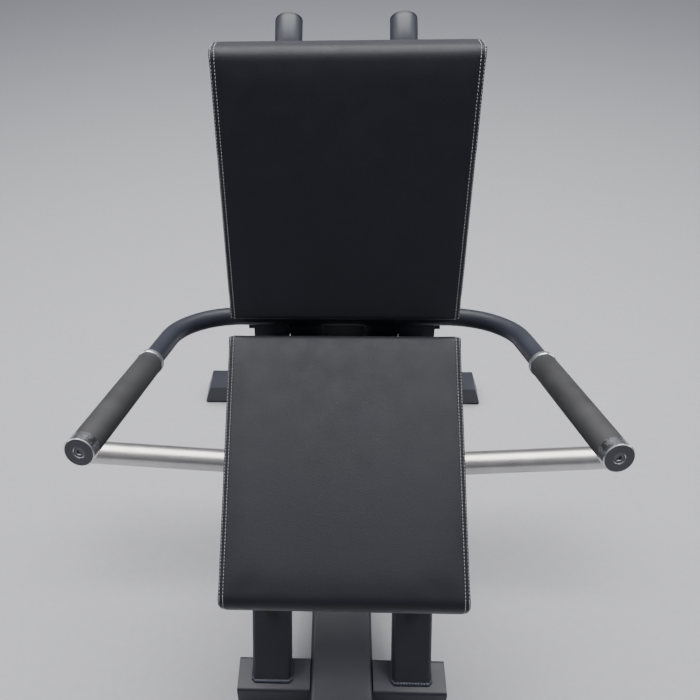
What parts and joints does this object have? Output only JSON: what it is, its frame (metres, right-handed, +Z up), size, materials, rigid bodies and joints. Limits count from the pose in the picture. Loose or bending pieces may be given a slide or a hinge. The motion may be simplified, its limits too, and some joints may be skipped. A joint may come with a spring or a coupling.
{
  "type": "ab crunch machine",
  "caption": "Plate-loaded abdominal crunch machine: sloping seat on a beam frame, and a hinged lever with backrest, forward handles and weight horns.",
  "frame": {"origin": "on the floor, at the middle of the machine's overall length and width", "axes": "+Z up; the user sits facing -Y, so the handles and the seat's low edge point to -Y; +X is the right-hand side of somebody standing in front and looking at the machine"},
  "size_m": [1.144, 1.201, 1.1828],
  "materials": {
    "frame_paint": "satin powder coat",
    "tube_paint": "satin powder coat",
    "leatherette": "fine-grained satin",
    "plywood_black": "black stained",
    "stainless": "brushed along the bar",
    "turned_aluminium": "turned",
    "grip_rubber": "soft matt",
    "foot_rubber": "matt",
    "cap_plastic": "satin",
    "weld_bead": "satin powder coat over weld",
    "black_bolts": "black oxide",
    "bright_steel": "zinc plated"
  },
  "bodies": {
    "frame": {"base_beam": "frame_paint", "base_end_cap": "cap_plastic", "left_front_foot": "frame_paint", "right_front_foot": "frame_paint", "rear_crossmember": "frame_paint", "front_foot_pads": "foot_rubber", "rear_foot_pads": "foot_rubber", "beam_foot_pad": "foot_rubber", "left_upright": "frame_paint", "right_upright": "frame_paint", "upright_welds": "weld_bead", "upright_bolts": "black_bolts", "cross_brace": "frame_paint", "stop_bumpers": "foot_rubber", "left_pivot_lug": "frame_paint", "right_pivot_lug": "frame_paint", "left_bearing_housing": "black_bolts", "right_bearing_housing": "black_bolts", "left_bearing": "bright_steel", "right_bearing": "bright_steel", "left_seat_rail": "frame_paint", "right_seat_rail": "frame_paint", "seat_board": "plywood_black", "seat_pad": "leatherette", "seat_bolts": "bright_steel"},
    "lever": {"pivot_shaft": "bright_steel", "shaft_nuts": "bright_steel", "left_hub": "black_bolts", "right_hub": "black_bolts", "left_lever_arm": "frame_paint", "right_lever_arm": "frame_paint", "horn_beam": "frame_paint", "left_horn": "stainless", "right_horn": "stainless", "left_horn_stop": "stainless", "right_horn_stop": "stainless", "left_horn_cap": "turned_aluminium", "right_horn_cap": "turned_aluminium", "left_cheek_block": "frame_paint", "right_cheek_block": "frame_paint", "cheek_tie": "frame_paint", "left_back_tube": "tube_paint", "right_back_tube": "tube_paint", "tube_caps": "cap_plastic", "lower_back_bracket": "frame_paint", "upper_back_bracket": "frame_paint", "back_board": "plywood_black", "back_pad": "leatherette", "back_bolts": "bright_steel", "left_handle_clamp": "frame_paint", "right_handle_clamp": "frame_paint", "handle_crossbar": "tube_paint", "left_handle_bar": "tube_paint", "right_handle_bar": "tube_paint", "handle_collars": "turned_aluminium", "left_grip": "grip_rubber", "right_grip": "grip_rubber", "left_grip_cap": "turned_aluminium", "right_grip_cap": "turned_aluminium", "cap_screws": "bright_steel"}
  },
  "joints": [
    {"name": "crunch_hinge", "type": "hinge", "parent": "frame", "child": "lever", "pos_m": [0, -0.0885, 0.634], "axis": [1, 0, 0], "range_deg": [0, 24]}
  ]
}
